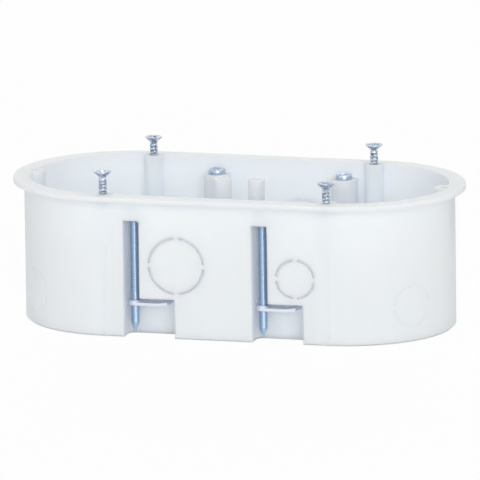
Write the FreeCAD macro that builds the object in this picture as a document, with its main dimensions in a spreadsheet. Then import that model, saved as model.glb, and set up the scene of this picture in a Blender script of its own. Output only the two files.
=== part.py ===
import FreeCAD, Part
import os
import re
import Sketcher

# Two-gang back box for hollow walls, in millimetres.
# The origin is the middle of the floor's underside. +X runs along the box, +Z points out of its open mouth
# and -Y is the front. The box looks the same after half a turn about Z, so most of it is made once.

SIZES = {
    # moulded shell
    "gang_pitch": 71.0,
    "body_radius": 32.4,
    "box_height": 44.5,
    "wall": 1.8,
    "floor_thickness": 2.0,
    "flange_overhang": 3.4,
    "flange_thickness": 1.5,
    "flange_bevel": 0.3,
    "bottom_bevel": 0.6,
    # fixings for the devices
    "device_screw_spacing": 60.0,
    "pillar_radius": 3.0,
    "post_radius": 2.6,
    "device_hole_depth": 15.5,
    "relief_radius": 5.7,
    "relief_depth": 0.4,
    "relief_height": 28.3,
    # claw channels and recesses in the long walls
    "outer_claw_x": 26.25,
    "inner_claw_x": 14.6,
    "channel_width": 5.0,
    "channel_height": 36.7,
    "channel_wall": 1.5,
    "claw_seat": 3.1,
    "recess_length": 13.7,
    "recess_height": 12.4,
    # scored knock-outs
    "score_width": 0.65,
    "bridge_width": 1.5,
    "large_knockout_diameter": 18.0,
    "large_knockout_x": 11.9,
    "large_knockout_z": 23.0,
    "small_knockout_diameter": 12.6,
    "small_knockout_x": 25.9,
    "small_knockout_z": 20.5,
    "end_knockout_diameter": 13.6,
    "end_knockout_angle": 40.0,
    "end_knockout_z": 11.3,
    # device screws
    "device_screw_core": 2.2,
    "device_screw_length": 16.0,
    "device_head_diameter": 5.5,
    "front_left_stand": 7.0,
    "front_right_stand": 6.2,
    "rear_left_stand": 5.7,
    "rear_right_stand": 6.1,
    # claw screws
    "claw_screw_diameter": 2.6,
    "claw_screw_foot": 1.0,
    "claw_head_diameter": 5.3,
    "claw_head_height": 1.7,
    # cross recess in every screw head
    "cross_length": 2.9,
    "cross_width": 0.7,
    "cross_depth": 1.1,
    # claws
    "claw_thickness": 1.0,
    "claw_end_gap": 2.0,
    "claw_fold": 8.0,
    "claw_tip_rise": 0.6,
    "claw_tip_slant": 0.9,
    "claw_drop": 2.9,
    # clearances
    "running_clearance": 0.05,
    "swing_clearance": 0.3,
    "head_clearance": 0.25,
    # how far a cutting tool runs past the material
    "tool_run": 1.0,
}

# largest error in height of an edge that counts as level
FLAT = 1e-6

doc = FreeCAD.newDocument("back_box")
sheet = doc.addObject("Spreadsheet::Sheet", "Sizes")
for row, (alias, value) in enumerate(SIZES.items(), start=1):
    sheet.set(f"A{row}", alias)
    sheet.set(f"B{row}", str(value))
    sheet.setAlias(f"B{row}", alias)
doc.recompute()


def cells(expression):
    """The expression with each size read from its cell on the sheet."""
    return re.sub(r"[a-z_]+", lambda word: f"Sizes.{word[0]}" if word[0] in SIZES else word[0], expression)


def number(expression):
    """Present value of an expression of sizes."""
    return float(sheet.evalExpression(cells(expression)))


def bind(item, **properties):
    """Tie properties of an object to expressions of sizes."""
    for name, expression in properties.items():
        item.setExpression(name, cells(expression))


def place(item, x="0", y="0", z="0", turn=0.0):
    """Tie an object's position to expressions of sizes, turned about Z."""
    item.Placement = FreeCAD.Placement(FreeCAD.Vector(), FreeCAD.Rotation(FreeCAD.Vector(0, 0, 1), turn))
    for axis, expression in zip("xyz", (x, y, z)):
        item.setExpression(f"Placement.Base.{axis}", cells(expression))


# Sketches

def origin_feature(body, role):
    return next(feature for feature in body.Origin.OriginFeatures if feature.Role == role)


def new_sketch(body, name, role="XY_Plane", height="0"):
    """Empty sketch on one of the body's own origin planes, raised along the plane's normal."""
    sketch = body.newObject("Sketcher::SketchObject", name)
    sketch.AttachmentSupport = (origin_feature(body, role), [""])
    sketch.MapMode = "FlatFace"
    sketch.setExpression("AttachmentOffset.Base.z", cells(height))
    return sketch


def constrain(sketch, kind, *references, expression):
    """Dimension whose value follows an expression of sizes."""
    index = sketch.addConstraint(Sketcher.Constraint(kind, *references, number(expression)))
    sketch.setExpression(f"Constraints[{index}]", cells(expression))


def pin_point(sketch, edge, end, x, y):
    """Hold a point of an edge at x and y from the sketch's origin."""
    constrain(sketch, "DistanceX", -1, 1, edge, end, expression=x)
    constrain(sketch, "DistanceY", -1, 1, edge, end, expression=y)


def draw_outline(sketch, corners, arcs=None):
    """Closed outline through corners given as expressions, anticlockwise round its material.

    arcs gives, for the edges that are half circles, the middle as expressions.
    """
    arcs = arcs or {}
    starts = [FreeCAD.Vector(number(x), number(y), 0) for x, y in corners]
    ends = starts[1:] + starts[:1]
    edges = []
    for step, (start, end) in enumerate(zip(starts, ends)):
        if step in arcs:
            middle = FreeCAD.Vector(*(number(text) for text in arcs[step]), 0)
            circle = Part.Circle(middle, FreeCAD.Vector(0, 0, 1), (start - middle).Length)
            shape = Part.ArcOfCircle(circle, circle.parameter(start), circle.parameter(end))
        else:
            shape = Part.LineSegment(start, end)
        edges.append(sketch.addGeometry(shape, False))
    for step, edge in enumerate(edges):
        following = edges[(step + 1) % len(edges)]
        sketch.addConstraint(Sketcher.Constraint("Coincident", edge, 2, following, 1))
        pin_point(sketch, edge, 1, *corners[step])
        if step in arcs:
            chord = ends[step] - starts[step]
            along_x = abs(chord.x) > abs(chord.y)
            middle_x, middle_y = arcs[step]
            constrain(sketch, "DistanceY" if along_x else "DistanceX", -1, 1, edge, 3,
                      expression=middle_y if along_x else middle_x)


def draw_circle(sketch, x, y, radius):
    centre = FreeCAD.Vector(number(x), number(y), 0)
    circle = sketch.addGeometry(Part.Circle(centre, FreeCAD.Vector(0, 0, 1), number(radius)), False)
    pin_point(sketch, circle, 3, x, y)
    constrain(sketch, "Radius", circle, expression=radius)


def draw_rectangle(sketch, left, right, bottom, top):
    draw_outline(sketch, [(left, bottom), (right, bottom), (right, top), (left, top)])


def draw_stadium(sketch, radius):
    """Two half circles, one round each gang's centre, joined by straight sides."""
    reach = "gang_pitch / 2"
    draw_outline(
        sketch,
        [(f"-({reach})", f"-({radius})"), (reach, f"-({radius})"), (reach, radius), (f"-({reach})", radius)],
        arcs={1: (reach, "0"), 3: (f"-({reach})", "0")},
    )


def draw_tongue(sketch, x, y, radius, root):
    """Straight-sided tongue from y = root up to a half round end about (x, y)."""
    draw_outline(
        sketch,
        [(f"{x} - ({radius})", root), (f"{x} + {radius}", root),
         (f"{x} + {radius}", y), (f"{x} - ({radius})", y)],
        arcs={2: (x, y)},
    )


# Features of a body

def pad(body, sketch, length, symmetric=False):
    feature = body.newObject("PartDesign::Pad", f"{sketch.Name}_pad")
    feature.Profile = sketch
    feature.Midplane = symmetric
    bind(feature, Length=length)
    return feature


def pocket(body, sketch, length, upwards=False):
    """Cut along the sketch's normal if upwards, else against it."""
    before = body.Tip
    feature = body.newObject("PartDesign::Pocket", f"{sketch.Name}_pocket")
    feature.Profile = sketch
    feature.Reversed = upwards
    bind(feature, Length=length)
    doc.recompute()
    if feature.Shape.Volume >= before.Shape.Volume:
        raise RuntimeError(f"{feature.Name} cuts nothing")
    return feature


def revolve(body, sketch):
    """Full turn of a sketch about its own vertical axis."""
    feature = body.newObject("PartDesign::Revolution", f"{sketch.Name}_turned")
    feature.Profile = sketch
    feature.ReferenceAxis = (sketch, ["V_Axis"])
    feature.Angle = 360
    return feature


def bevel_edges(body, name, height, bevel):
    """Bevel on the edges of the last feature that lie wholly at a height."""
    doc.recompute()
    base = body.Tip
    chosen = [
        f"Edge{index}"
        for index, edge in enumerate(base.Shape.Edges, start=1)
        if all(abs(point.z - number(height)) < FLAT for point in edge.discretize(3))
    ]
    feature = body.newObject("PartDesign::Chamfer", name)
    feature.Base = (base, chosen)
    bind(feature, Size=bevel)
    return feature


# Moulded box

RELIEF_Y = "-(body_radius + relief_radius - relief_depth)"
INSIDE_WALL = "-(body_radius - wall / 2)"
PAST_WALL = "-(body_radius + tool_run)"
CLAW_AXES = ("-outer_claw_x", "inner_claw_x")
DEVICE_Y = "-device_screw_spacing / 2"
DEVICE_X = ("-gang_pitch / 2", "gang_pitch / 2")
INNER_POST_X = "(gang_pitch - device_screw_spacing) / 2"
END_PILLAR_X = "(gang_pitch + device_screw_spacing) / 2"
CLAW_Y = "-(body_radius - wall - head_clearance - claw_head_diameter / 2)"
CLAW_POST_TOP = "(channel_height + claw_seat)"
RECESS_BACK = f"({CLAW_Y} + channel_width / 2)"
CLAW_REACH = "(recess_length - claw_end_gap)"
CLAW_HEIGHT = "recess_height - claw_drop"
OUTSIDE_SCORE = "wall * 0.55"
INSIDE_SCORE = "wall / 6"
END_SCORE = "wall / 9"
DEVICE_HOLE_RADIUS = "device_screw_core / 2 + running_clearance"
CLAW_HOLE_RADIUS = "claw_screw_diameter / 2 + running_clearance"


def make_shell(body):
    """Stadium shell with its rim flange, open at the top."""
    wall_sketch = new_sketch(body, "wall_outline")
    draw_stadium(wall_sketch, "body_radius")
    pad(body, wall_sketch, "box_height")
    bevel_edges(body, "bottom_edge", "0", "bottom_bevel")

    flange_sketch = new_sketch(body, "flange_outline", height="box_height - flange_thickness")
    draw_stadium(flange_sketch, "body_radius + flange_overhang")
    pad(body, flange_sketch, "flange_thickness")
    bevel_edges(body, "flange_edge", "box_height", "flange_bevel")

    cavity_sketch = new_sketch(body, "cavity_outline", height="box_height")
    draw_stadium(cavity_sketch, "body_radius - wall")
    pocket(body, cavity_sketch, "box_height - floor_thickness")


def make_device_fixings(body):
    """Pillars on the wall and a post on the floor, up to the rim, with the reliefs behind the pillars."""
    pillars = new_sketch(body, "device_pillars", height="floor_thickness / 2")
    for x in DEVICE_X:
        draw_tongue(pillars, x, DEVICE_Y, "pillar_radius", INSIDE_WALL)
    end_root = "gang_pitch / 2 + body_radius - wall / 2"
    draw_outline(
        pillars,
        [(end_root, "-pillar_radius"), (end_root, "pillar_radius"),
         (END_PILLAR_X, "pillar_radius"), (END_PILLAR_X, "-pillar_radius")],
        arcs={2: (END_PILLAR_X, "0")},
    )
    draw_circle(pillars, INNER_POST_X, "0", "post_radius")
    pillar_pad = pad(body, pillars, "box_height - floor_thickness / 2")

    reliefs = new_sketch(body, "pillar_reliefs")
    for x in DEVICE_X:
        draw_circle(reliefs, x, RELIEF_Y, "relief_radius")
    relief_pocket = pocket(body, reliefs, "relief_height", upwards=True)

    holes = new_sketch(body, "device_holes", height="box_height")
    for x in DEVICE_X:
        draw_circle(holes, x, DEVICE_Y, DEVICE_HOLE_RADIUS)
    draw_circle(holes, END_PILLAR_X, "0", DEVICE_HOLE_RADIUS)
    draw_circle(holes, INNER_POST_X, "0", DEVICE_HOLE_RADIUS)
    hole_pocket = pocket(body, holes, "device_hole_depth")
    return [pillar_pad, relief_pocket, hole_pocket]


def make_claw_housings(body):
    """Posts inside the long wall, each hollowed from outside by a screw channel and a claw recess."""
    posts = new_sketch(body, "claw_posts", height="floor_thickness / 2")
    bulges = new_sketch(body, "recess_bulges", height="floor_thickness / 2")
    channels = new_sketch(body, "claw_channels")
    recesses = new_sketch(body, "claw_recesses")
    holes = new_sketch(body, "claw_holes", height=CLAW_POST_TOP)
    for x in CLAW_AXES:
        recess_end = f"{x} + recess_length"
        bulge_back = f"{RECESS_BACK} + channel_wall"
        draw_tongue(posts, x, CLAW_Y, "channel_width / 2 + channel_wall", INSIDE_WALL)
        draw_rectangle(bulges, x, f"{recess_end} + channel_wall", INSIDE_WALL, bulge_back)
        draw_tongue(channels, x, CLAW_Y, "channel_width / 2", PAST_WALL)
        draw_rectangle(recesses, x, recess_end, PAST_WALL, RECESS_BACK)
        draw_circle(holes, x, CLAW_Y, CLAW_HOLE_RADIUS)
    return [
        pad(body, posts, f"{CLAW_POST_TOP} - floor_thickness / 2"),
        pad(body, bulges, "recess_height + channel_wall - floor_thickness / 2"),
        pocket(body, channels, "channel_height", upwards=True),
        pocket(body, recesses, "recess_height", upwards=True),
        pocket(body, holes, "claw_seat + tool_run"),
    ]


def make_moulding():
    body = doc.addObject("PartDesign::Body", "moulding")
    make_shell(body)
    half = make_claw_housings(body) + make_device_fixings(body)
    doc.recompute()
    pattern = body.newObject("PartDesign::PolarPattern", "other_half")
    pattern.Originals = half
    pattern.Axis = (origin_feature(body, "Z_Axis"), [""])
    pattern.Angle = 360
    pattern.Occurrences = 2
    body.Tip = pattern
    return body


def make_skin(name, outer_radius, inner_radius):
    """Stadium tube that follows the wall, to limit the depth of the scores."""
    body = doc.addObject("PartDesign::Body", name)
    outside = new_sketch(body, f"{name}_outside")
    draw_stadium(outside, outer_radius)
    pad(body, outside, "box_height - flange_thickness")
    inside = new_sketch(body, f"{name}_inside")
    draw_stadium(inside, inner_radius)
    pocket(body, inside, "box_height", upwards=True)
    return body


def make_ring(name, diameter, x, z, turn):
    """Ring tool for one knock-out with two crossed bridges, that points to the front before it is turned."""
    length = "body_radius + tool_run"
    outer = doc.addObject("Part::Cylinder", f"{name}_outer")
    bind(outer, Radius=f"{diameter} / 2", Height=length)
    inner = doc.addObject("Part::Cylinder", f"{name}_inner")
    bind(inner, Radius=f"{diameter} / 2 - score_width", Height=length)
    upright = doc.addObject("Part::Box", f"{name}_upright")
    bind(upright, Length="bridge_width", Width=diameter, Height=length)
    place(upright, x="-bridge_width / 2", y=f"-{diameter} / 2")
    level = doc.addObject("Part::Box", f"{name}_level")
    bind(level, Length=diameter, Width="bridge_width", Height=length)
    place(level, x=f"-{diameter} / 2", y="-bridge_width / 2")
    kept = doc.addObject("Part::MultiFuse", f"{name}_kept")
    kept.Shapes = [inner, upright, level]
    ring = doc.addObject("Part::Cut", name)
    ring.Base = outer
    ring.Tool = kept
    ring.setExpression(
        "Placement",
        f"placement(vector({cells(x)}; 0; {cells(z)}); rotationz({cells(turn)}) * rotationx(90))",
    )
    return ring


def make_wall_rings(size, x):
    """Ring tools for a knock-out of the front wall and its like in the rear wall."""
    return [
        make_ring(f"{side}_{size}", f"{size}_diameter", f"{sign} * ({x})", f"{size}_z", turn)
        for side, sign, turn in (("front", "1", "0"), ("rear", "-1", "180"))
    ]


def make_end_rings():
    """Ring tools for the knock-outs in the round ends, two to each end."""
    away = "90 - end_knockout_angle"
    return [
        make_ring(f"{corner}_end_knockout", "end_knockout_diameter", x, "end_knockout_z", turn)
        for corner, x, turn in (
            ("front_right", "gang_pitch / 2", away),
            ("front_left", "-gang_pitch / 2", f"-({away})"),
            ("rear_left", "-gang_pitch / 2", f"180 + {away}"),
            ("rear_right", "gang_pitch / 2", f"180 - ({away})"),
        )
    ]


def make_grooves(name, rings, skin):
    """What rings and a skin of the wall have in common."""
    tools = doc.addObject("Part::MultiFuse", f"{name}_rings")
    tools.Shapes = rings
    grooves = doc.addObject("Part::MultiCommon", name)
    grooves.Shapes = [tools, skin]
    return grooves


def make_scores():
    """Grooves round the knock-outs: deep in the long walls, from inside too if large, and faint at the ends."""
    large = make_wall_rings("large_knockout", "-large_knockout_x")
    small = make_wall_rings("small_knockout", "small_knockout_x")
    past_wall = "body_radius + tool_run"
    inner_face = "body_radius - wall"
    outside = make_skin("outside_skin", past_wall, f"body_radius - {OUTSIDE_SCORE}")
    inside = make_skin("inside_skin", f"{inner_face} + {INSIDE_SCORE}", f"{inner_face} - tool_run")
    ends = make_skin("end_skin", past_wall, f"body_radius - {END_SCORE}")
    scores = doc.addObject("Part::MultiFuse", "scores")
    scores.Shapes = [
        make_grooves("outside_grooves", large + small, outside),
        make_grooves("inside_grooves", large, inside),
        make_grooves("end_grooves", make_end_rings(), ends),
    ]
    return scores


def make_box_body():
    box = doc.addObject("Part::Cut", "box_body")
    box.Base = make_moulding()
    box.Tool = make_scores()
    return box


# Screws, each drawn with the plane under its head, or its head's flat top, at the body's own origin

def cut_cross(body, height):
    """Cross recess in the top of a screw head."""
    sketch = new_sketch(body, f"{body.Name}_cross", height=height)
    arm = "cross_length / 2"
    half = "cross_width / 2"
    quarter = [(arm, f"-({half})"), (arm, half), (half, half)]
    corners = []
    for _ in range(4):
        corners += quarter
        quarter = [(f"-({y})", x) for x, y in quarter]
    draw_outline(sketch, corners)
    pocket(body, sketch, "cross_depth")


def make_device_screw(name, x, y, stand):
    """Countersunk screw, its flat top at the origin, part driven into a pillar."""
    body = doc.addObject("PartDesign::Body", name)
    profile = new_sketch(body, f"{name}_profile", role="XZ_Plane")
    core = "device_screw_core / 2"
    head = "device_head_diameter / 2"
    draw_outline(profile, [
        ("0", "-device_screw_length"),
        (core, "-device_screw_length"),
        (core, f"{core} - {head}"),
        (head, "0"),
        ("0", "0"),
    ])
    revolve(body, profile)
    cut_cross(body, "0")
    place(body, x, y, f"box_height + {stand}")
    return body


def make_claw_screw(name, x, y):
    """Cheese head screw, its head on the claw post and its end just above the floor's underside."""
    body = doc.addObject("PartDesign::Body", name)
    profile = new_sketch(body, f"{name}_profile", role="XZ_Plane")
    shank = "claw_screw_diameter / 2"
    head = "claw_head_diameter / 2"
    foot = f"claw_screw_foot - {CLAW_POST_TOP}"
    draw_outline(profile, [
        ("0", foot),
        (shank, foot),
        (shank, "0"),
        (head, "0"),
        (head, "claw_head_height"),
        ("0", "claw_head_height"),
    ])
    revolve(body, profile)
    cut_cross(body, "claw_head_height")
    place(body, x, y, CLAW_POST_TOP)
    return body


# Claws

def make_claw(name, x, y, turn):
    """Stamped plate round a claw screw, with a raised tip, folded along the wall."""
    body = doc.addObject("PartDesign::Body", name)
    half = "(channel_width / 2 - swing_clearance)"
    profile = new_sketch(body, f"{name}_profile", role="XZ_Plane")
    draw_outline(profile, [
        (f"-{half}", "0"),
        ("claw_fold", "0"),
        (CLAW_REACH, "claw_tip_rise"),
        (CLAW_REACH, "claw_tip_rise + claw_thickness"),
        ("claw_fold", "claw_thickness"),
        (f"-{half}", "claw_thickness"),
    ])
    pad(body, profile, f"2 * {half}", symmetric=True)

    trims = new_sketch(body, f"{name}_trims", height="claw_tip_rise + claw_thickness + tool_run")
    past = f"({half} + tool_run)"
    draw_circle(trims, "0", "0", CLAW_HOLE_RADIUS)
    draw_outline(
        trims,
        [("0", half), ("0", f"-{half}"), ("0", f"-{past}"),
         (f"-{past}", f"-{past}"), (f"-{past}", past), ("0", past)],
        arcs={0: ("0", "0")},
    )
    draw_outline(trims, [
        (f"{CLAW_REACH} - claw_tip_slant", f"-{half}"),
        (f"{CLAW_REACH} + tool_run", f"-{half}"),
        (CLAW_REACH, half),
    ])
    pocket(body, trims, "claw_tip_rise + claw_thickness + 2 * tool_run")
    place(body, x, y, CLAW_HEIGHT, turn)
    return body


# Assembly: front pieces as drawn, rear pieces half a turn round

nodes = [make_box_body()]
for side, sign, turn in (("front", "1", 0), ("rear", "-1", 180)):
    for hand, device_x in zip(("left", "right"), DEVICE_X):
        place_name = f"{side}_{hand}"
        nodes.append(make_device_screw(
            f"device_screw_{place_name}", device_x, f"{sign} * ({DEVICE_Y})", f"{place_name}_stand"))
    claw_hands = ("left", "right") if side == "front" else ("right", "left")
    for hand, claw_x in zip(claw_hands, CLAW_AXES):
        spot = (f"{sign} * ({claw_x})", f"{sign} * {CLAW_Y}")
        nodes.append(make_claw_screw(f"claw_screw_{side}_{hand}", *spot))
        nodes.append(make_claw(f"claw_{side}_{hand}", *spot, turn))
doc.recompute()

for item in doc.Objects:
    if {"Invalid", "Error"} & set(item.State):
        raise RuntimeError(f"{item.Name} failed: {item.State}")
for node in nodes:
    if node.Shape.isNull() or not node.Shape.isValid() or len(node.Shape.Solids) != 1:
        raise RuntimeError(f"{node.Label} isn't one valid solid")

os.makedirs("parts", exist_ok=True)
for node in nodes:
    node.Shape.exportStep(f"parts/{node.Label}.step")
    print(f"{node.Label}: {node.Shape.Volume:.1f} cubic millimetres")
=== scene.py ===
import math

import bmesh
import bpy
from mathutils import Matrix, Vector


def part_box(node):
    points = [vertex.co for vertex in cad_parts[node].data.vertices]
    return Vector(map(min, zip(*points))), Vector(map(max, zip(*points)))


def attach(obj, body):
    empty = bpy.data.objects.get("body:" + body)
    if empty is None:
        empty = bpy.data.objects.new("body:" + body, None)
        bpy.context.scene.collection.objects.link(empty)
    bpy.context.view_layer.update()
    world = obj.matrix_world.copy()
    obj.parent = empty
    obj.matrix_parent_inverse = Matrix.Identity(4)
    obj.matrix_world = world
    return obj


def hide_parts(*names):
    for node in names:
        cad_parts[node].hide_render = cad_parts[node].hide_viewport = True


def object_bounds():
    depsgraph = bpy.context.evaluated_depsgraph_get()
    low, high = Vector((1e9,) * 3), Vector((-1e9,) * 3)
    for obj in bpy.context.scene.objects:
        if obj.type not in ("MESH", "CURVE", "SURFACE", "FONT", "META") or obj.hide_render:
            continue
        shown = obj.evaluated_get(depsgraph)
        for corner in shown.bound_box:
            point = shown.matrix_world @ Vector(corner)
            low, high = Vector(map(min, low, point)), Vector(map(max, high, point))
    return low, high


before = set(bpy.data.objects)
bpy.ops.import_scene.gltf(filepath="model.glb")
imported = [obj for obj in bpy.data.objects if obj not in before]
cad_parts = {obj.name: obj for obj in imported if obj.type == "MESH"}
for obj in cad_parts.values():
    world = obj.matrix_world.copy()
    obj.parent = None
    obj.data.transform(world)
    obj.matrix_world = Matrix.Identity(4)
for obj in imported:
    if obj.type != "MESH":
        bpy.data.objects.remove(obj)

CAD_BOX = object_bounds()
MM = 0.001
CORNERS = ("front_left", "front_right", "rear_left", "rear_right")
# edges that bend more than this are drawn sharp
CREASE = math.radians(28)


# Nodes and colours

def linear(code):
    """Linear colour of an sRGB hex code."""
    shares = [int(code[start:start + 2], 16) / 255 for start in (0, 2, 4)]
    return (*(s / 12.92 if s <= 0.04045 else ((s + 0.055) / 1.055) ** 2.4 for s in shares), 1.0)


def add_node(tree, kind, inputs=None, **settings):
    """New node with its settings, and a value or a link for each input named or numbered."""
    node = tree.nodes.new(kind)
    for name, value in settings.items():
        setattr(node, name, value)
    for key, value in (inputs or {}).items():
        if isinstance(value, bpy.types.NodeSocket):
            tree.links.new(value, node.inputs[key])
        else:
            node.inputs[key].default_value = value
    return node


def new_material(name):
    """Empty material, its tree and its output node."""
    material = bpy.data.materials.new(name)
    material.use_nodes = True
    tree = material.node_tree
    tree.nodes.clear()
    return material, tree, add_node(tree, "ShaderNodeOutputMaterial")


# Materials

def moulded_polypropylene():
    """White polypropylene from a fine-eroded mould: satin, a little translucent, faintly uneven."""
    material, tree, output = new_material("moulded_polypropylene")
    place = add_node(tree, "ShaderNodeTexCoord").outputs["Object"]
    # slow drift of tone, in clouds 14 mm across
    clouds = add_node(tree, "ShaderNodeTexNoise", {"Vector": place, "Scale": 1 / (14 * MM)})
    tone = add_node(tree, "ShaderNodeMix", {
        "Factor": clouds.outputs["Fac"], "A": linear("EEF3FC"), "B": linear("F1F6FD"),
    }, data_type="RGBA")
    # erosion grain is a tenth of this 0.5 mm, too fine to show
    grain = add_node(tree, "ShaderNodeTexNoise", {"Vector": place, "Scale": 1 / (0.5 * MM)})
    bump = add_node(tree, "ShaderNodeBump", {
        "Height": grain.outputs["Fac"], "Strength": 0.08, "Distance": 0.05 * MM,
    })
    # the upper face of the box's floor isn't translucent: what lies below gives the light back
    height = add_node(tree, "ShaderNodeSeparateXYZ", {"Vector": place}).outputs["Z"]
    facing = add_node(tree, "ShaderNodeNewGeometry").outputs["Normal"]
    upward = add_node(tree, "ShaderNodeSeparateXYZ", {"Vector": facing}).outputs["Z"]
    above_floor = add_node(tree, "ShaderNodeMapRange", {
        "Value": height, "From Min": 4 * MM, "From Max": 5 * MM,
    })
    not_upward = add_node(tree, "ShaderNodeMapRange", {
        "Value": upward, "From Min": 0.5, "From Max": 0.9, "To Min": 1.0, "To Max": 0.0,
    })
    translucent = add_node(tree, "ShaderNodeMath", {
        0: above_floor.outputs["Result"], 1: not_upward.outputs["Result"],
    }, operation="MAXIMUM")
    surface = add_node(tree, "ShaderNodeBsdfPrincipled", {
        "Base Color": tone.outputs["Result"],
        "Roughness": 0.6,
        "IOR": 1.49,
        "Specular IOR Level": 0.2,
        "Subsurface Weight": translucent.outputs[0],
        "Subsurface Radius": (1.0, 1.0, 1.0),
        "Subsurface Scale": 3.0 * MM,
        "Normal": bump.outputs["Normal"],
    })
    tree.links.new(surface.outputs["BSDF"], output.inputs["Surface"])
    return material


def zinc_plated_screw_steel():
    """Bright zinc, passivated blue: cool and glinting; painted shade darkens the shanks in the
    channels and the thread, painted dark reflections speckle the heads, and it is paler on top.
    """
    material, tree, output = new_material("zinc_plated_screw_steel")
    place = add_node(tree, "ShaderNodeTexCoord").outputs["Object"]
    # screws reach from a blue shank in the channels, darker there with painted shade, to the paler
    # heads near the rim
    height = add_node(tree, "ShaderNodeSeparateXYZ", {"Vector": place}).outputs["Z"]
    near_rim = add_node(tree, "ShaderNodeMapRange", {
        "Value": height, "From Min": 38 * MM, "From Max": 42 * MM,
    })
    tint = add_node(tree, "ShaderNodeMix", {
        "Factor": near_rim.outputs["Result"], "A": linear("A9C1DD"), "B": linear("DAE5F2"),
    }, data_type="RGBA")
    # painted dark reflections: dark patches 0.7 mm across near the rim and above, in place of dark
    # surroundings mirrored by the heads
    patches = add_node(tree, "ShaderNodeTexNoise", {"Vector": place, "Scale": 1 / (0.7 * MM)})
    painted_dark_reflections = add_node(tree, "ShaderNodeMapRange", {
        "Value": patches.outputs["Fac"], "From Min": 0.47, "From Max": 0.57, "To Max": 0.66,
    })
    dark_reflection_share = add_node(tree, "ShaderNodeMath", {
        0: painted_dark_reflections.outputs["Result"], 1: near_rim.outputs["Result"],
    }, operation="MULTIPLY")
    with_dark_reflections = add_node(tree, "ShaderNodeMix", {
        "Factor": dark_reflection_share.outputs[0], "A": tint.outputs["Result"], "B": linear("66778C"),
    }, data_type="RGBA")
    # painted shade at the bottom of the thread
    groove = add_node(tree, "ShaderNodeAttribute", attribute_name="groove")
    groove_shaded = add_node(tree, "ShaderNodeMix", {
        "Factor": groove.outputs["Fac"], "A": with_dark_reflections.outputs["Result"], "B": linear("5E6C7C"),
    }, data_type="RGBA")
    # cloudy gloss, in clouds 0.8 mm across
    clouds = add_node(tree, "ShaderNodeTexNoise", {"Vector": place, "Scale": 1 / (0.8 * MM)})
    gloss = add_node(tree, "ShaderNodeMapRange", {
        "Value": clouds.outputs["Fac"], "To Min": 0.22, "To Max": 0.38,
    })
    surface = add_node(tree, "ShaderNodeBsdfPrincipled", {
        "Base Color": groove_shaded.outputs["Result"],
        "Metallic": 1.0,
        "Roughness": gloss.outputs["Result"],
    })
    tree.links.new(surface.outputs["BSDF"], output.inputs["Surface"])
    return material


def zinc_plated_sheet():
    """Stamped sheet, barrel plated with zinc: pale, with a soft and slightly cloudy sheen."""
    material, tree, output = new_material("zinc_plated_sheet")
    place = add_node(tree, "ShaderNodeTexCoord").outputs["Object"]
    clouds = add_node(tree, "ShaderNodeTexNoise", {"Vector": place, "Scale": 1 / (1.2 * MM)})
    gloss = add_node(tree, "ShaderNodeMapRange", {
        "Value": clouds.outputs["Fac"], "To Min": 0.58, "To Max": 0.72,
    })
    surface = add_node(tree, "ShaderNodeBsdfPrincipled", {
        "Base Color": linear("E2E7F0"),
        "Metallic": 1.0,
        "Roughness": gloss.outputs["Result"],
    })
    tree.links.new(surface.outputs["BSDF"], output.inputs["Surface"])
    return material


PLASTIC = moulded_polypropylene()
SCREW_ZINC = zinc_plated_screw_steel()
SHEET_ZINC = zinc_plated_sheet()


# Meshes

def keep_mesh(name, mesh, material):
    """Object of a mesh, in one material."""
    mesh.materials.clear()
    mesh.materials.append(material)
    piece = bpy.data.objects.new(name, mesh)
    bpy.context.scene.collection.objects.link(piece)
    return piece


def evaluated_mesh(source):
    """Plain mesh of an object with its modifiers; the object goes."""
    graph = bpy.context.evaluated_depsgraph_get()
    mesh = bpy.data.meshes.new_from_object(source.evaluated_get(graph), depsgraph=graph)
    bpy.data.objects.remove(source)
    return mesh


def axis_of(node):
    """Middle of a CAD node seen from above, and its lowest and highest points, in metres."""
    low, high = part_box(node)
    return (low.x + high.x) / 2, (low.y + high.y) / 2, low.z, high.z


def stand_for(piece, node, body):
    """Show a piece in a CAD node's place."""
    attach(piece, body)
    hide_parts(node)


# Moulded box: the solid's own faces, merged, with its edges softened

EDGE_ROUND = 0.18 * MM
EDGE_STEPS = 2
# points of the loose triangles that are one, and faces that are flat enough to be one
SAME_POINT = 0.0001 * MM
FLAT_ANGLE = math.radians(0.3)
# points that the softened edges leave this close together are joined
JOINED_POINTS = 0.01 * MM
# holes of the device screws: how deep they are drawn, because the screw fills the rest, and the
# distance from the axis within which a point belongs to the hole
HOLE_DEPTH = 2.5 * MM
HOLE_RADIUS = 1.3 * MM
# upright edges of the claw channels and recesses, which the mould leaves rounder than the rest
CHANNEL_ROUND = 0.7 * MM
CHANNEL_STEPS = 4
CHANNEL_EDGE_LENGTH = 5.0 * MM
CHANNEL_EDGE_ANGLE = math.radians(60)
UPRIGHT_WITHIN = 0.01 * MM
ON_WALL_WITHIN = 0.05 * MM


def fill_screw_holes(shell):
    """Raise the bottoms of the holes that hold device screws."""
    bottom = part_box("box_body")[1].z - HOLE_DEPTH
    for corner in CORNERS:
        x, y, _, _ = axis_of(f"device_screw_{corner}")
        for vert in shell.verts:
            if math.hypot(vert.co.x - x, vert.co.y - y) < HOLE_RADIUS:
                vert.co.z = max(vert.co.z, bottom)


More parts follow.
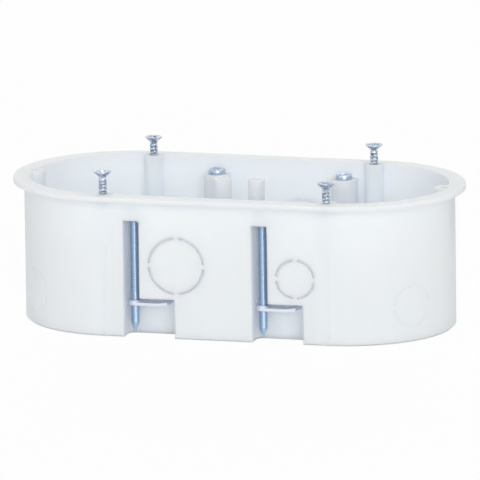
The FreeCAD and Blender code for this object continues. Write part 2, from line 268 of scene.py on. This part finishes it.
def round_channel_edges(shell):
    """Round the upright edges where the claw channels break through the long walls."""
    wall = max(abs(vert.co.y) for vert in shell.verts if vert.co.z < MM)
    edges = []
    for edge in shell.edges:
        first, last = (vert.co for vert in edge.verts)
        upright = math.hypot(first.x - last.x, first.y - last.y) < UPRIGHT_WITHIN
        long_enough = abs(first.z - last.z) > CHANNEL_EDGE_LENGTH
        on_wall = abs(abs(first.y) - wall) < ON_WALL_WITHIN
        sharp = edge.calc_face_angle(0.0) > CHANNEL_EDGE_ANGLE
        if upright and long_enough and on_wall and sharp:
            edges.append(edge)
    bmesh.ops.bevel(
        shell, geom=edges, offset=CHANNEL_ROUND, offset_type="OFFSET", segments=CHANNEL_STEPS,
        profile=0.5, affect="EDGES", clamp_overlap=True,
    )


def make_moulding():
    """Box moulding: the solid's faces, merged, with soft edges."""
    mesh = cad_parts["box_body"].data.copy()
    shell = bmesh.new()
    shell.from_mesh(mesh)
    bmesh.ops.remove_doubles(shell, verts=shell.verts, dist=SAME_POINT)
    fill_screw_holes(shell)
    bmesh.ops.dissolve_limit(
        shell, angle_limit=FLAT_ANGLE, verts=shell.verts, edges=shell.edges,
    )
    round_channel_edges(shell)
    shell.to_mesh(mesh)
    shell.free()
    mesh.shade_smooth()
    mesh.set_sharp_from_angle(angle=CREASE)
    source = keep_mesh("moulding_source", mesh, PLASTIC)
    soften = source.modifiers.new("soft_edges", "BEVEL")
    soften.width = EDGE_ROUND
    soften.segments = EDGE_STEPS
    soften.limit_method = "ANGLE"
    soften.angle_limit = CREASE
    soften.use_clamp_overlap = True
    joined = source.modifiers.new("joined_points", "WELD")
    joined.merge_threshold = JOINED_POINTS
    even = source.modifiers.new("even_shading", "WEIGHTED_NORMAL")
    even.keep_sharp = True
    piece = keep_mesh("moulded_box", evaluated_mesh(source), PLASTIC)
    stand_for(piece, "box_body", "box")


# Screws: a profile line from the point to the middle of the head, turned and threaded by a tree

SIDES = 32
ROWS_PER_TURN = 8
# share of half a pitch from the middle of the root at which the flat crest begins
CREST_START = 0.92
# points that are one where the turned skin closes, and where the cross is cut
SEAM_POINTS = 0.001 * MM
CUT_POINTS = 0.005 * MM
# corner radius of a square with sides of 1, and the share to which the cross's cutter narrows
UNIT_SQUARE = math.sqrt(0.5)
WING_TAPER = 0.5
SCREW_INPUTS = (
    ("Geometry", "NodeSocketGeometry"),
    ("Sides", "NodeSocketInt"),
    ("Thread Pitch", "NodeSocketFloat"),
    ("Thread Depth", "NodeSocketFloat"),
    ("Thread Root", "NodeSocketFloat"),
    ("Groove Shade", "NodeSocketFloat"),
    ("Cross Length", "NodeSocketFloat"),
    ("Cross Width", "NodeSocketFloat"),
    ("Cross Depth", "NodeSocketFloat"),
    ("Head Top", "NodeSocketFloat"),
    ("Turn", "NodeSocketFloat"),
    ("Place", "NodeSocketVector"),
    ("Material", "NodeSocketMaterial"),
)


def threaded_skin(tree, given):
    """Skin turned from the profile, with a thread where the profile's thread attribute asks."""
    rows = add_node(
        tree, "GeometryNodeAttributeDomainSize", {"Geometry": given["Geometry"]},
        component="MESH",
    ).outputs["Point Count"]
    columns = add_node(tree, "ShaderNodeMath", {0: given["Sides"], 1: 1.0}, operation="ADD")
    skin = add_node(tree, "GeometryNodeMeshGrid", {
        "Vertices X": columns.outputs[0], "Vertices Y": rows,
    })

    # a grid point's row is its point on the profile, and its column its share of a turn
    index = add_node(tree, "GeometryNodeInputIndex").outputs["Index"]
    row = add_node(tree, "ShaderNodeMath", {0: index, 1: rows}, operation="MODULO").outputs[0]
    rows_before = add_node(tree, "ShaderNodeMath", {0: index, 1: rows}, operation="DIVIDE")
    column = add_node(tree, "ShaderNodeMath", {0: rows_before.outputs[0]}, operation="FLOOR")
    share = add_node(tree, "ShaderNodeMath", {
        0: column.outputs[0], 1: given["Sides"],
    }, operation="DIVIDE").outputs[0]
    angle = add_node(tree, "ShaderNodeMath", {0: share, 1: math.tau}, operation="MULTIPLY")
    position = add_node(tree, "GeometryNodeInputPosition").outputs["Position"]
    point = add_node(tree, "GeometryNodeSampleIndex", {
        "Geometry": given["Geometry"], "Index": row, "Value": position,
    }, data_type="FLOAT_VECTOR", domain="POINT")
    profile = add_node(tree, "ShaderNodeSeparateXYZ", {"Vector": point.outputs["Value"]}).outputs
    marked = add_node(
        tree, "GeometryNodeInputNamedAttribute", {"Name": "thread"}, data_type="FLOAT",
    )
    threaded = add_node(tree, "GeometryNodeSampleIndex", {
        "Geometry": given["Geometry"], "Index": row, "Value": marked.outputs["Attribute"],
    }, data_type="FLOAT", domain="POINT").outputs["Value"]

    # distance from the middle of the thread's root: 0 there and 1 on the crest
    pitches = add_node(tree, "ShaderNodeMath", {
        0: profile["Z"], 1: given["Thread Pitch"],
    }, operation="DIVIDE")
    wound = add_node(tree, "ShaderNodeMath", {
        0: pitches.outputs[0], 1: share,
    }, operation="SUBTRACT")
    phase = add_node(tree, "ShaderNodeMath", {0: wound.outputs[0]}, operation="FRACT")
    doubled = add_node(tree, "ShaderNodeMath", {
        0: phase.outputs[0], 1: 2.0,
    }, operation="MULTIPLY")
    centred = add_node(tree, "ShaderNodeMath", {
        0: doubled.outputs[0], 1: 1.0,
    }, operation="SUBTRACT")
    from_root = add_node(tree, "ShaderNodeMath", {0: centred.outputs[0]}, operation="ABSOLUTE")
    rise = add_node(tree, "ShaderNodeMapRange", {
        "Value": from_root.outputs[0],
        "From Min": given["Thread Root"], "From Max": CREST_START,
    }).outputs["Result"]

    full_height = add_node(tree, "ShaderNodeMath", {
        0: rise, 1: given["Thread Depth"],
    }, operation="MULTIPLY")
    height = add_node(tree, "ShaderNodeMath", {
        0: full_height.outputs[0], 1: threaded,
    }, operation="MULTIPLY")
    radius = add_node(tree, "ShaderNodeMath", {
        0: profile["X"], 1: height.outputs[0],
    }, operation="ADD")
    cosine = add_node(tree, "ShaderNodeMath", {0: angle.outputs[0]}, operation="COSINE")
    sine = add_node(tree, "ShaderNodeMath", {0: angle.outputs[0]}, operation="SINE")
    along_x = add_node(tree, "ShaderNodeMath", {
        0: radius.outputs[0], 1: cosine.outputs[0],
    }, operation="MULTIPLY")
    along_y = add_node(tree, "ShaderNodeMath", {
        0: radius.outputs[0], 1: sine.outputs[0],
    }, operation="MULTIPLY")
    turned = add_node(tree, "ShaderNodeCombineXYZ", {
        "X": along_x.outputs[0], "Y": along_y.outputs[0], "Z": profile["Z"],
    })
    shaped = add_node(tree, "GeometryNodeSetPosition", {
        "Geometry": skin.outputs["Mesh"], "Position": turned.outputs["Vector"],
    })

    # painted shade: the material darkens what lies deep in the thread
    fall = add_node(tree, "ShaderNodeMath", {0: 1.0, 1: rise}, operation="SUBTRACT")
    depth = add_node(tree, "ShaderNodeMath", {
        0: fall.outputs[0], 1: threaded,
    }, operation="MULTIPLY")
    shade = add_node(tree, "ShaderNodeMath", {
        0: depth.outputs[0], 1: given["Groove Shade"],
    }, operation="MULTIPLY")
    shaded = add_node(tree, "GeometryNodeStoreNamedAttribute", {
        "Geometry": shaped.outputs["Geometry"], "Name": "groove", "Value": shade.outputs[0],
    }, data_type="FLOAT", domain="POINT")
    return add_node(tree, "GeometryNodeMergeByDistance", {
        "Geometry": shaded.outputs["Geometry"], "Distance": SEAM_POINTS,
    }).outputs["Geometry"]


def cross_wings(tree, given):
    """Two tapered wings that cut the cross, each a square frustum stretched along x or y."""
    wing = add_node(tree, "GeometryNodeMeshCone", {
        "Vertices": 4,
        "Radius Top": UNIT_SQUARE,
        "Radius Bottom": UNIT_SQUARE * WING_TAPER,
        "Depth": 1.0,
    })
    square = add_node(tree, "GeometryNodeTransform", {
        "Geometry": wing.outputs["Mesh"],
        "Translation": (0.0, 0.0, -0.5),
        "Rotation": (0.0, 0.0, math.pi / 4),
    })
    # half of the frustum stands above the head, so three quarters of its upper end's size, which
    # is what the inputs give, show at the head's top
    tall = add_node(tree, "ShaderNodeMath", {
        0: given["Cross Depth"], 1: 2.0,
    }, operation="MULTIPLY")
    lift = add_node(tree, "ShaderNodeCombineXYZ", {"Z": given["Head Top"]})
    wings = []
    for along, across in (("X", "Y"), ("Y", "X")):
        stretch = add_node(tree, "ShaderNodeCombineXYZ", {
            along: given["Cross Length"], across: given["Cross Width"], "Z": tall.outputs[0],
        })
        wings.append(add_node(tree, "GeometryNodeTransform", {
            "Geometry": square.outputs["Geometry"],
            "Translation": lift.outputs["Vector"],
            "Scale": stretch.outputs["Vector"],
        }))
    return wings


def turned_screw_tree():
    """Turns a profile about Z, winds the thread, cuts the cross and puts the screw in place."""
    tree = bpy.data.node_groups.new("turned_screw", "GeometryNodeTree")
    for name, kind in SCREW_INPUTS:
        tree.interface.new_socket(name, in_out="INPUT", socket_type=kind)
    tree.interface.new_socket("Geometry", in_out="OUTPUT", socket_type="NodeSocketGeometry")
    given = add_node(tree, "NodeGroupInput").outputs

    recessed = add_node(
        tree, "GeometryNodeMeshBoolean", {"Mesh 1": threaded_skin(tree, given)},
        operation="DIFFERENCE", solver="MANIFOLD",
    )
    for wing in cross_wings(tree, given):
        tree.links.new(wing.outputs["Geometry"], recessed.inputs["Mesh 2"])
    joined = add_node(tree, "GeometryNodeMergeByDistance", {
        "Geometry": recessed.outputs["Mesh"], "Distance": CUT_POINTS,
    })

    smooth = add_node(tree, "GeometryNodeSetShadeSmooth", {
        "Geometry": joined.outputs["Geometry"],
    })
    bend = add_node(tree, "GeometryNodeInputMeshEdgeAngle").outputs["Unsigned Angle"]
    sharp = add_node(tree, "ShaderNodeMath", {0: bend, 1: CREASE}, operation="GREATER_THAN")
    creased = add_node(tree, "GeometryNodeSetShadeSmooth", {
        "Geometry": smooth.outputs["Geometry"],
        "Selection": sharp.outputs[0],
        "Shade Smooth": False,
    }, domain="EDGE")

    spin = add_node(tree, "ShaderNodeCombineXYZ", {"Z": given["Turn"]})
    placed = add_node(tree, "GeometryNodeTransform", {
        "Geometry": creased.outputs["Geometry"],
        "Translation": given["Place"],
        "Rotation": spin.outputs["Vector"],
    })
    plain = add_node(tree, "GeometryNodeRealizeInstances", {
        "Geometry": placed.outputs["Geometry"],
    })
    plated = add_node(tree, "GeometryNodeSetMaterial", {
        "Geometry": plain.outputs["Geometry"], "Material": given["Material"],
    })
    add_node(tree, "NodeGroupOutput", {"Geometry": plated.outputs["Geometry"]})
    return tree


SCREW_TREE = turned_screw_tree()


def plain_rows(points, base=0.0):
    """Profile points without thread, in millimetres, from radii and heights above a base."""
    return [(radius, base + z, 0.0) for radius, z in points]


def thread_rows(radius, low, high, pitch):
    """Profile points of a threaded stretch in millimetres, with their share of the thread."""
    count = round((high - low) / pitch * ROWS_PER_TURN)
    heights = [low + (high - low) * step / count for step in range(count + 1)]
    return [(radius, z, min(1.0, (z - low) / pitch, (high - z) / pitch)) for z in heights]


def make_screw(node, profile, sizes, place, turn):
    """Screw in a CAD node's place, from profile points: radius, height and share of thread."""
    line = bpy.data.meshes.new(f"{node}_profile")
    line.from_pydata(
        [(radius * MM, 0.0, z * MM) for radius, z, _ in profile],
        [(step, step + 1) for step in range(len(profile) - 1)],
        [],
    )
    share = line.attributes.new("thread", "FLOAT", "POINT")
    share.data.foreach_set("value", [mark for _, _, mark in profile])
    source = bpy.data.objects.new(f"{node}_source", line)
    bpy.context.scene.collection.objects.link(source)
    modifier = source.modifiers.new("screw", "NODES")
    modifier.node_group = SCREW_TREE
    values = {
        **sizes, "Sides": SIDES, "Turn": turn, "Place": tuple(place), "Material": SCREW_ZINC,
    }
    for item in SCREW_TREE.interface.items_tree:
        if item.in_out == "INPUT" and item.name in values:
            modifier[item.identifier] = values[item.name]
    piece = keep_mesh(f"{node}_threaded", evaluated_mesh(source), SCREW_ZINC)
    stand_for(piece, node, node)


# how far each head happens to be turned, in radians
TURNS = (0.35, 1.1, 0.8, 0.1)

# device screws, in millimetres: a thread that cuts its own way into the pillar, a cone below the
# head; heights are above the point and above the head's top
DEVICE_PITCH = 1.1
DEVICE_CORE = 1.12
DEVICE_THREAD = 0.22
DEVICE_POINT = ((0.0, 0.0), (0.35, 0.25))
DEVICE_POINT_LENGTH = 1.8
DEVICE_PLAIN_NECK = 0.1
DEVICE_HEAD = 2.75
DEVICE_HEAD_EDGE = (
    (DEVICE_HEAD - 0.08, -0.22),
    (DEVICE_HEAD, -0.14),
    (DEVICE_HEAD - 0.04, -0.05),
    (DEVICE_HEAD - 0.16, 0.0),
    (0.0, 0.0),
)
DEVICE_SIZES = {
    "Thread Pitch": DEVICE_PITCH * MM,
    "Thread Depth": DEVICE_THREAD * MM,
    "Thread Root": 0.35,
    "Groove Shade": 0.5,
    "Cross Length": 4.0 * MM,
    "Cross Width": 1.0 * MM,
    "Cross Depth": 1.2 * MM,
    "Head Top": 0.0,
}


def make_device_screws():
    """Countersunk screws that stand part driven in the pillars."""
    for corner, turn in zip(CORNERS, TURNS):
        node = f"device_screw_{corner}"
        x, y, low, high = axis_of(node)
        foot = (low - high) / MM
        neck = DEVICE_CORE - DEVICE_HEAD
        profile = [
            *plain_rows(DEVICE_POINT, foot),
            *thread_rows(
                DEVICE_CORE, foot + DEVICE_POINT_LENGTH, neck - DEVICE_PLAIN_NECK, DEVICE_PITCH,
            ),
            (DEVICE_CORE, neck, 0.0),
            *plain_rows(DEVICE_HEAD_EDGE),
        ]
        make_screw(node, profile, DEVICE_SIZES, (x, y, high), turn)


# claw screws, in millimetres: a fine machine thread, a pointed foot and a pan head; heights are
# above the point and above the head's seat
CLAW_PITCH = 0.5
CLAW_ROOT = 1.22
CLAW_THREAD = 0.07
CLAW_POINT = ((0.0, 0.0), (0.12, 0.1))
CLAW_POINT_LENGTH = 2.6
CLAW_PLAIN_NECK = 0.2
CLAW_HEAD = 2.65
CLAW_HEAD_HEIGHT = 1.7
CLAW_HEAD_EDGE = (
    (CLAW_ROOT, 0.0),
    (CLAW_HEAD - 0.1, 0.0),
    (CLAW_HEAD, 0.1),
    (CLAW_HEAD, 1.0),
    (CLAW_HEAD - 0.12, 1.32),
    (CLAW_HEAD - 0.42, 1.52),
    (CLAW_HEAD - 1.0, 1.64),
    (0.0, CLAW_HEAD_HEIGHT),
)
CLAW_SIZES = {
    "Thread Pitch": CLAW_PITCH * MM,
    "Thread Depth": CLAW_THREAD * MM,
    "Thread Root": 0.08,
    "Groove Shade": 0.2,
    "Cross Length": 4.9 * MM,
    "Cross Width": 1.35 * MM,
    "Cross Depth": 1.25 * MM,
    "Head Top": CLAW_HEAD_HEIGHT * MM,
}


def make_claw_screws():
    """Long pan head screws that stand in the channels."""
    for corner, turn in zip(CORNERS, reversed(TURNS)):
        node = f"claw_screw_{corner}"
        x, y, low, high = axis_of(node)
        seat = high - CLAW_HEAD_HEIGHT * MM
        foot = (low - seat) / MM
        profile = [
            *plain_rows(CLAW_POINT, foot),
            *thread_rows(CLAW_ROOT, foot + CLAW_POINT_LENGTH, -CLAW_PLAIN_NECK, CLAW_PITCH),
            *plain_rows(CLAW_HEAD_EDGE),
        ]
        make_screw(node, profile, CLAW_SIZES, (x, y, seat), turn)


# Claws: stamped plates with a tapped collar and a bent tip, drawn in millimetres

CLAW_HALF = 2.2
CLAW_THICKNESS = 1.0
CLAW_HOLE = 1.36
CLAW_FOLD = 8.0
CLAW_SLANT = 0.9
CLAW_TIP_RISE = 0.6
CLAW_EDGE = 0.14
CLAW_EDGE_STEPS = 2
CLAW_END_STEPS = 12
CLAW_HOLE_STEPS = 24
CLAW_SAME_POINT = 0.0001
COLLAR_RADIUS = 2.0
COLLAR_HEIGHT = 0.6
COLLAR_CHAMFER = 0.15
COLLAR_SUNK = 0.05


def arc(radius, start, sweep, steps, count):
    """Points of an arc about the origin, at the first so many of its steps."""
    angles = [start + sweep * step / steps for step in range(count)]
    return [(radius * math.cos(angle), radius * math.sin(angle)) for angle in angles]


def plate_curve(reach):
    """Flat curve of the plate's outline and hole, with rolled edges."""
    half = CLAW_HALF - CLAW_EDGE
    outline = [
        *arc(half, math.pi / 2, math.pi, CLAW_END_STEPS, CLAW_END_STEPS + 1),
        (reach - CLAW_SLANT - CLAW_EDGE, -half),
        (reach - CLAW_EDGE, half),
    ]
    hole = arc(CLAW_HOLE + CLAW_EDGE, 0.0, math.tau, CLAW_HOLE_STEPS, CLAW_HOLE_STEPS)
    curve = bpy.data.curves.new("claw_outline", "CURVE")
    curve.dimensions = "2D"
    curve.fill_mode = "BOTH"
    curve.extrude = CLAW_THICKNESS / 2 - CLAW_EDGE
    curve.bevel_depth = CLAW_EDGE
    curve.bevel_resolution = CLAW_EDGE_STEPS
    for points in (outline, hole):
        spline = curve.splines.new("POLY")
        spline.points.add(len(points) - 1)
        for point, (x, y) in zip(spline.points, points):
            point.co = (x, y, 0.0, 1.0)
        spline.use_cyclic_u = True
    return curve


def add_collar(shape):
    """Ring round the screw on top of the plate."""
    low = CLAW_THICKNESS - COLLAR_SUNK
    high = low + COLLAR_HEIGHT
    profile = [
        (CLAW_HOLE, low),
        (COLLAR_RADIUS, low),
        (COLLAR_RADIUS, high - COLLAR_CHAMFER),
        (COLLAR_RADIUS - COLLAR_CHAMFER, high),
        (CLAW_HOLE, high),
    ]
    rings = []
    for step in range(SIDES):
        angle = math.tau * step / SIDES
        rings.append([
            shape.verts.new((radius * math.cos(angle), radius * math.sin(angle), z))
            for radius, z in profile
        ])
    for ring, following in zip(rings, rings[1:] + rings[:1]):
        for step in range(len(profile)):
            onward = (step + 1) % len(profile)
            shape.faces.new((ring[step], following[step], following[onward], ring[onward]))


def make_claws():
    """Claws, the rear ones turned by half a turn."""
    for corner in CORNERS:
        node = f"claw_{corner}"
        screw_x, screw_y, _, _ = axis_of(f"claw_screw_{corner}")
        low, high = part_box(node)
        turned = corner.startswith("rear")
        reach = (screw_x - low.x if turned else high.x - screw_x) / MM
        source = bpy.data.objects.new(f"{node}_source", plate_curve(reach))
        bpy.context.scene.collection.objects.link(source)
        plate = evaluated_mesh(source)
        shape = bmesh.new()
        shape.from_mesh(plate)
        bmesh.ops.remove_doubles(shape, verts=shape.verts, dist=CLAW_SAME_POINT)
        bmesh.ops.bisect_plane(
            shape, geom=shape.verts[:] + shape.edges[:] + shape.faces[:],
            plane_co=(CLAW_FOLD, 0, 0), plane_no=(1, 0, 0),
        )
        for vert in shape.verts:
            past_fold = max(0.0, vert.co.x - CLAW_FOLD) / (reach - CLAW_FOLD)
            vert.co.z += CLAW_THICKNESS / 2 + CLAW_TIP_RISE * past_fold
        add_collar(shape)
        bmesh.ops.recalc_face_normals(shape, faces=shape.faces)
        place = Matrix.Translation((screw_x, screw_y, low.z))
        half_turn = Matrix.Rotation(math.pi if turned else 0.0, 4, "Z")
        shape.transform(place @ half_turn @ Matrix.Scale(MM, 4))
        shape.to_mesh(plate)
        shape.free()
        plate.shade_smooth()
        plate.set_sharp_from_angle(angle=CREASE)
        piece = keep_mesh(f"{node}_stamped", plate, SHEET_ZINC)
        stand_for(piece, node, node)


# Floor, light and camera, in metres

FLOOR_SIZE = 14.0
FLOOR_GAP = 0.2 * MM
# share of plain white in what the camera and reflections see of the floor
FLOOR_WHITE = 0.95


def seen_directly(tree):
    """1 for rays from the camera and for those mirrored or refracted, else 0."""
    path = add_node(tree, "ShaderNodeLightPath").outputs
    mirrored = add_node(tree, "ShaderNodeMath", {
        0: path["Is Glossy Ray"], 1: path["Is Transmission Ray"],
    }, operation="MAXIMUM")
    return add_node(tree, "ShaderNodeMath", {
        0: path["Is Camera Ray"], 1: mirrored.outputs[0],
    }, operation="MAXIMUM").outputs[0]


def make_floor():
    """Matt white paper that keeps a faint shadow."""
    material, tree, output = new_material("white_paper_floor")
    paper = add_node(tree, "ShaderNodeBsdfDiffuse", {"Color": linear("F4F4F4")})
    white = add_node(tree, "ShaderNodeEmission", {"Color": linear("FFFFFF"), "Strength": 1.0})
    share = add_node(tree, "ShaderNodeMath", {
        0: seen_directly(tree), 1: FLOOR_WHITE,
    }, operation="MULTIPLY")
    mix = add_node(tree, "ShaderNodeMixShader", {
        0: share.outputs[0], 1: paper.outputs["BSDF"], 2: white.outputs["Emission"],
    })
    tree.links.new(mix.outputs["Shader"], output.inputs["Surface"])
    half = FLOOR_SIZE / 2
    sides = ((-half, -half), (half, -half), (half, half), (-half, half))
    mesh = bpy.data.meshes.new("floor")
    mesh.from_pydata([(x, y, -FLOOR_GAP) for x, y in sides], [], [(0, 1, 2, 3)])
    keep_mesh("floor", mesh, material)


# light of the surroundings, which comes more from overhead than from the sides
SIDE_LIGHT = 0.44
OVERHEAD_LIGHT = 0.75


def make_world():
    """White surroundings, seen as plain white."""
    world = bpy.data.worlds.new("white_surroundings")
    bpy.context.scene.world = world
    world.use_nodes = True
    tree = world.node_tree
    tree.nodes.clear()
    bearing = add_node(tree, "ShaderNodeTexCoord").outputs["Generated"]
    height = add_node(tree, "ShaderNodeSeparateXYZ", {"Vector": bearing}).outputs["Z"]
    level = add_node(tree, "ShaderNodeMapRange", {
        "Value": height, "To Min": SIDE_LIGHT, "To Max": OVERHEAD_LIGHT,
    })
    seen = add_node(tree, "ShaderNodeMix", {
        "Factor": seen_directly(tree), "A": level.outputs["Result"], "B": 1.0,
    })
    background = add_node(tree, "ShaderNodeBackground", {
        "Color": linear("FFFFFF"), "Strength": seen.outputs["Result"],
    })
    add_node(tree, "ShaderNodeOutputWorld", {"Surface": background.outputs["Background"]})


def direction(azimuth, elevation):
    """Unit vector to a bearing, 0 in front and 90 on the right, and a height, in degrees."""
    a, e = math.radians(azimuth), math.radians(elevation)
    return Vector((math.sin(a) * math.cos(e), -math.cos(a) * math.cos(e), math.sin(e)))


SOFT_BOX_SIZE = 3.5
SOFT_BOX_DISTANCE = 6.0
# bearing, height, power in watts, and whether the metal mirrors it; the rear one shines through
# the walls
SOFT_BOXES = {
    "front_soft_box": (28, 21, 84.0, True),
    "low_soft_box": (26, 2, 56.0, True),
    "left_soft_box": (-50, 24, 30.0, False),
    "rear_soft_box": (195, 8, 200.0, False),
}


def make_lights():
    """Square soft boxes that face the middle of the box."""
    middle = (CAD_BOX[0] + CAD_BOX[1]) / 2
    for name, (azimuth, elevation, power, mirrored) in SOFT_BOXES.items():
        lamp = bpy.data.lights.new(name, "AREA")
        lamp.shape = "SQUARE"
        lamp.size = SOFT_BOX_SIZE
        lamp.energy = power
        source = bpy.data.objects.new(name, lamp)
        bpy.context.scene.collection.objects.link(source)
        back = direction(azimuth, elevation)
        source.location = middle + back * SOFT_BOX_DISTANCE
        source.rotation_euler = back.to_track_quat("Z", "Y").to_euler()
        source.visible_glossy = mirrored


VIEW_AZIMUTH = 15.0
VIEW_ELEVATION = 12.15
VIEW_ROLL = math.radians(0.745)
VIEW_DISTANCE = 4.0
VIEW_LENS = 968.1
# how far above the middle of the moulding the camera looks
AIM_UP = 2.7 * MM


def make_camera():
    """Distant camera at the photograph's viewing angle, with its slight roll."""
    back = direction(VIEW_AZIMUTH, VIEW_ELEVATION)
    level = Vector((0, 0, 1)).cross(back).normalized()
    upright = back.cross(level)
    right = level * math.cos(VIEW_ROLL) - upright * math.sin(VIEW_ROLL)
    up = back.cross(right)
    low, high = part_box("box_body")
    aim = Vector((0, 0, (low.z + high.z) / 2)) + up * AIM_UP
    lens = bpy.data.cameras.new("camera")
    lens.lens = VIEW_LENS
    camera = bpy.data.objects.new("camera", lens)
    bpy.context.scene.collection.objects.link(camera)
    turned = Matrix((right, up, back)).transposed().to_4x4()
    camera.matrix_world = Matrix.Translation(aim + back * VIEW_DISTANCE) @ turned
    bpy.context.scene.camera = camera


make_moulding()
make_device_screws()
make_claw_screws()
make_claws()
make_floor()
make_world()
make_lights()
make_camera()
bpy.context.scene.view_settings.view_transform = "Standard"
